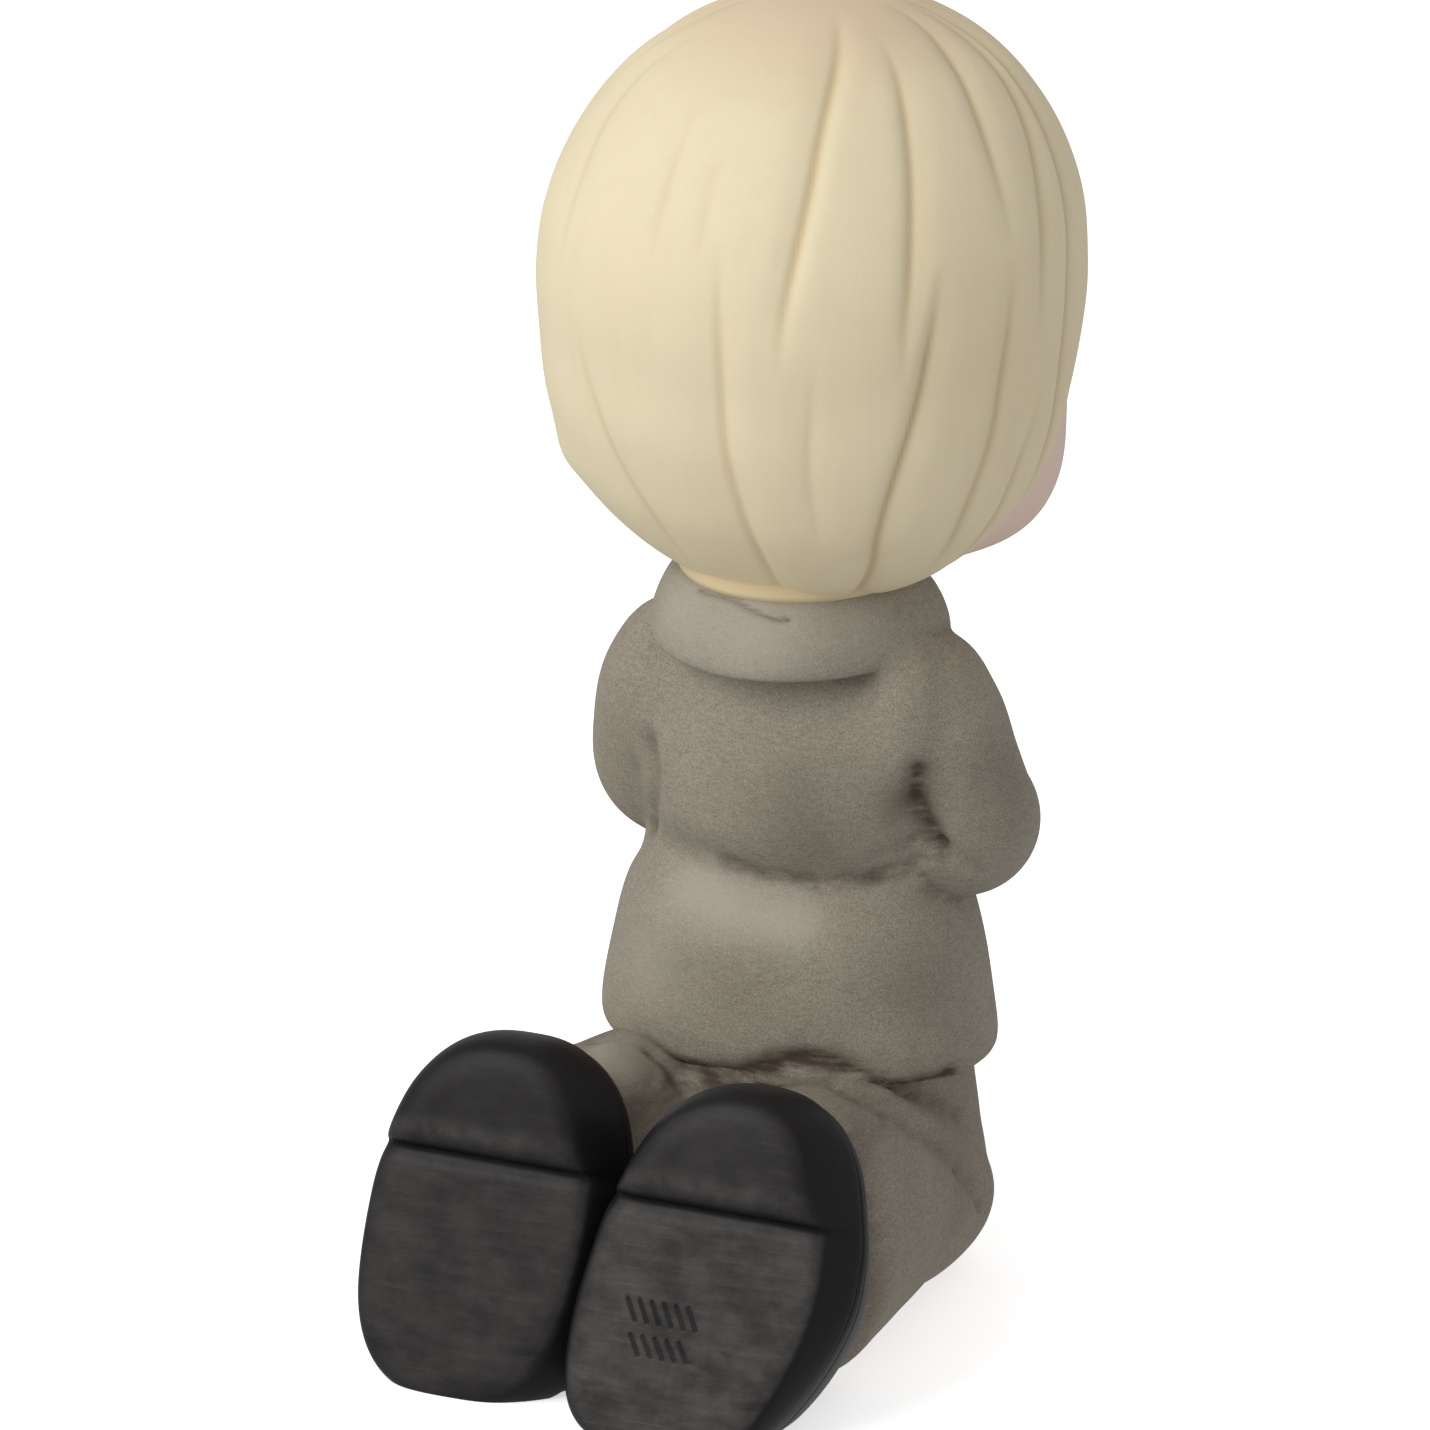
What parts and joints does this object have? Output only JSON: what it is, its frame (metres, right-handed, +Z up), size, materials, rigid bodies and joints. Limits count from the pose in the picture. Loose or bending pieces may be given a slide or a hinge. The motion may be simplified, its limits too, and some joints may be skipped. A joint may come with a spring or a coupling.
{
  "type": "kneeling boy figurine",
  "caption": "Small painted bisque porcelain figurine of a boy kneeling upright with joined hands, his shoe soles turned to the back; stands on its flat underside.",
  "frame": {"origin": "on the floor, under the middle of the figurine's bounding box", "axes": "the boy faces -Y, his left is +X, and +Z is up"},
  "size_m": [0.0502, 0.0708, 0.1246],
  "materials": {
    "bisque": "matte painted bisque"
  },
  "bodies": {
    "root": {"figurine": "bisque"}
  },
  "joints": []
}
